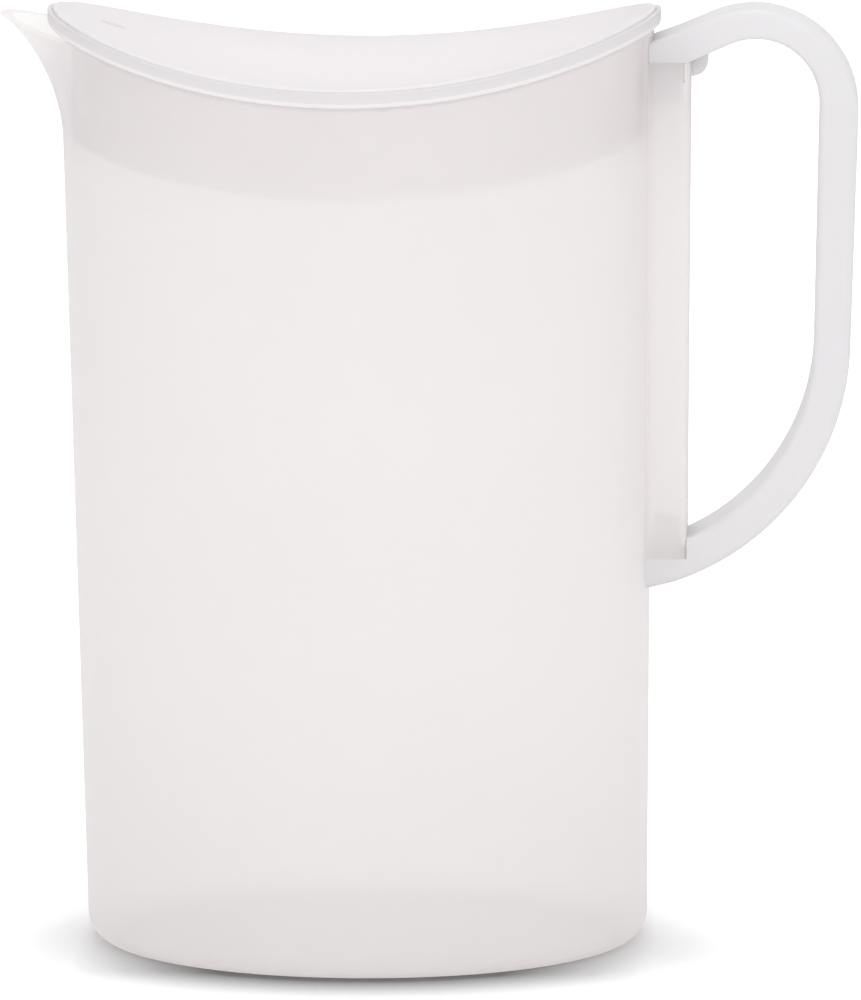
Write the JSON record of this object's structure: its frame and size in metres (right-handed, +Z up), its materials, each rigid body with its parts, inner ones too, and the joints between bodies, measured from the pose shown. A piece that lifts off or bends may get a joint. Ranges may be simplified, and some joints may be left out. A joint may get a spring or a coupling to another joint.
{
  "type": "pitcher with lift-off lid",
  "caption": "Translucent round pitcher with a pouring spout, a clip-on C-shaped handle and a saddle-shaped lift-off lid with a deep slotted skirt.",
  "frame": {"origin": "middle of the flat base, on the surface the pitcher stands on", "axes": "+Z up, +X towards the handle, -X towards the spout; mirror-symmetric about the XZ plane"},
  "size_m": [0.1841, 0.1306, 0.2019],
  "materials": {
    "jug_plastic": "natural polypropylene, milky translucent, satin",
    "handle_plastic": "natural polypropylene, milky translucent, semi-gloss",
    "lid_plastic": "natural polypropylene, milky translucent, satin"
  },
  "bodies": {
    "jug": {"jug_body": "jug_plastic", "handle": "handle_plastic"},
    "lid": {"lid": "lid_plastic"}
  },
  "joints": [
    {"name": "lid_lift", "type": "slide", "parent": "jug", "child": "lid", "axis": [0, 0, 1], "range_m": [0, 0.06]}
  ]
}
